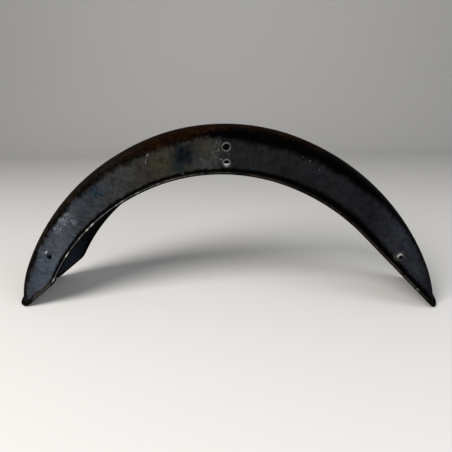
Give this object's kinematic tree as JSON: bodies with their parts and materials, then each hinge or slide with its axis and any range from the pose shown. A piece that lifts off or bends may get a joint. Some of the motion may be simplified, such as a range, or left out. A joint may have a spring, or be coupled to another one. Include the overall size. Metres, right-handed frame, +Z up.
{
  "type": "motorcycle front mudguard",
  "caption": "Arched pressed-steel front mudguard blade for a motorcycle, with a rolled border bead and bolt holes through both flanks for a fork bracket and stays.",
  "frame": {"origin": "middle of the bounding box at the level of the two ends", "axes": "+X along the blade towards its pointed end, +Y across it from the flank first seen to the other, +Z up through the top of the arch"},
  "size_m": [0.6754, 0.1298, 0.2766],
  "materials": {
    "black_paint": "aged black gloss paint, hazy and chipped"
  },
  "bodies": {
    "root": {"mudguard_blade": "black_paint"}
  },
  "joints": []
}
